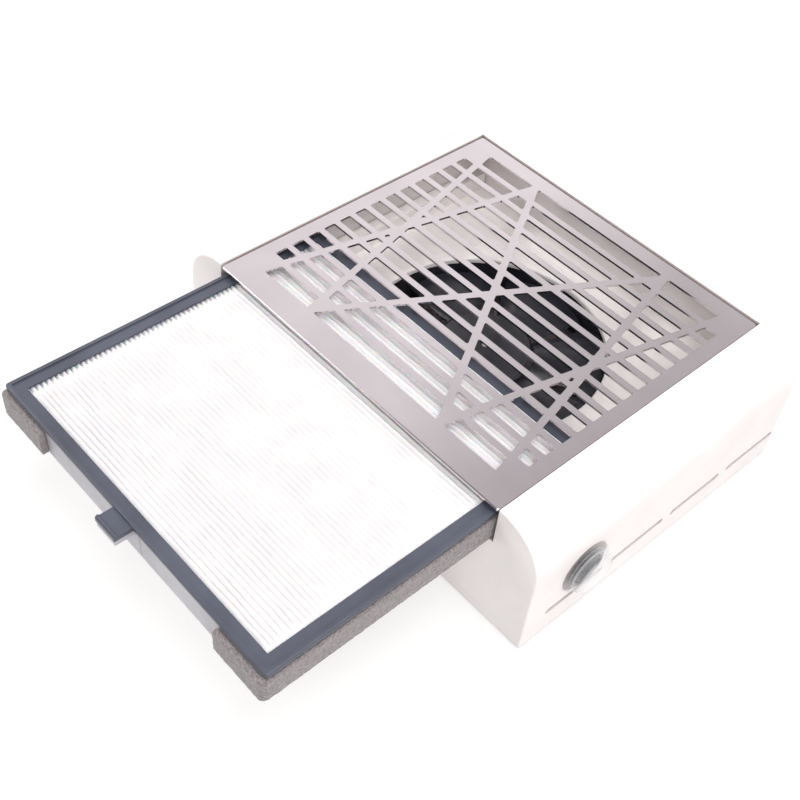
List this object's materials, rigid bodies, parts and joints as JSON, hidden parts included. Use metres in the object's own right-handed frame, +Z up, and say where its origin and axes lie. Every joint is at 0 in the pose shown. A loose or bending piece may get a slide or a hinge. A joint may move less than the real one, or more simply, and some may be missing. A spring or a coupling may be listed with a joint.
{
  "type": "nail dust collector",
  "caption": "Low white table-top dust collector with a steel grille over a fan, a slide-in pleated filter cartridge and a side rocker switch.",
  "frame": {"origin": "on the table, under the centre of the casing's footprint (256 mm by 198 mm, filter not counted)", "axes": "+X to the side wall that carries the switch, +Y from the filter slot to the rear wall, +Z up"},
  "size_m": [0.2632, 0.3331, 0.08],
  "materials": {
    "white_plastic": "moulded white, satin gloss",
    "deck_plastic": "moulded off-white, matt",
    "steel_plate": "bright, smooth, fine grain",
    "slate_plastic": "moulded slate grey, satin",
    "tray_plastic": "moulded light grey, matt",
    "filter_paper": "white pleated glass-fibre paper",
    "grey_foam": "open-cell foam, matt",
    "black_plastic": "moulded black, satin",
    "dark_rocker": "moulded black, glossy",
    "clear_cap": "clear soft plastic",
    "magnet": "sintered, dull",
    "shaft_steel": "ground",
    "bearing_bronze": "sintered bronze",
    "board_green": "circuit board",
    "core_steel": "laminated steel",
    "copper": "enamelled copper wire",
    "screw_steel": "zinc plated",
    "brass": "bright",
    "lead_red": "insulation",
    "lead_black": "insulation",
    "foot_rubber": "matt"
  },
  "bodies": {
    "case": {"upper_shell": "white_plastic", "fan_deck": "deck_plastic", "base_plate": "white_plastic", "grille_plate": "steel_plate", "rubber_feet": "foot_rubber", "base_screws": "screw_steel", "deck_screws": "screw_steel", "fan_frame": "black_plastic", "fan_bearing_lower": "bearing_bronze", "fan_bearing_upper": "bearing_bronze", "fan_board": "board_green", "fan_stator": "core_steel", "fan_coils": "copper", "fan_screws": "screw_steel", "switch_body": "black_plastic", "switch_cap": "clear_cap", "switch_terminals": "brass", "jack_body": "black_plastic", "jack_pin": "brass", "jack_tag": "brass", "jack_nut": "brass", "inlet_switch_lead": "lead_red", "switch_fan_lead": "lead_red", "inlet_fan_lead": "lead_black"},
    "filter_cartridge": {"filter_frame": "slate_plastic", "filter_tray": "tray_plastic", "filter_media": "filter_paper", "foam_seal_left": "grey_foam", "foam_seal_right": "grey_foam"},
    "fan_wheel": {"fan_rotor": "black_plastic", "fan_magnet": "magnet", "fan_shaft": "shaft_steel"},
    "rocker": {"switch_rocker": "dark_rocker"}
  },
  "joints": [
    {"name": "filter_slide", "type": "slide", "parent": "case", "child": "filter_cartridge", "axis": [0, 1, 0], "range_m": [-0.066, 0.1245]},
    {"name": "fan_spin", "type": "hinge", "parent": "case", "child": "fan_wheel", "pos_m": [0, -0.0015, 0.03], "axis": [0, 0, 1], "continuous": true},
    {"name": "switch_rock", "type": "hinge", "parent": "case", "child": "rocker", "pos_m": [0.125, -0.0615, 0.0344], "axis": [0, 1, 0], "range_deg": [0, 14]}
  ]
}
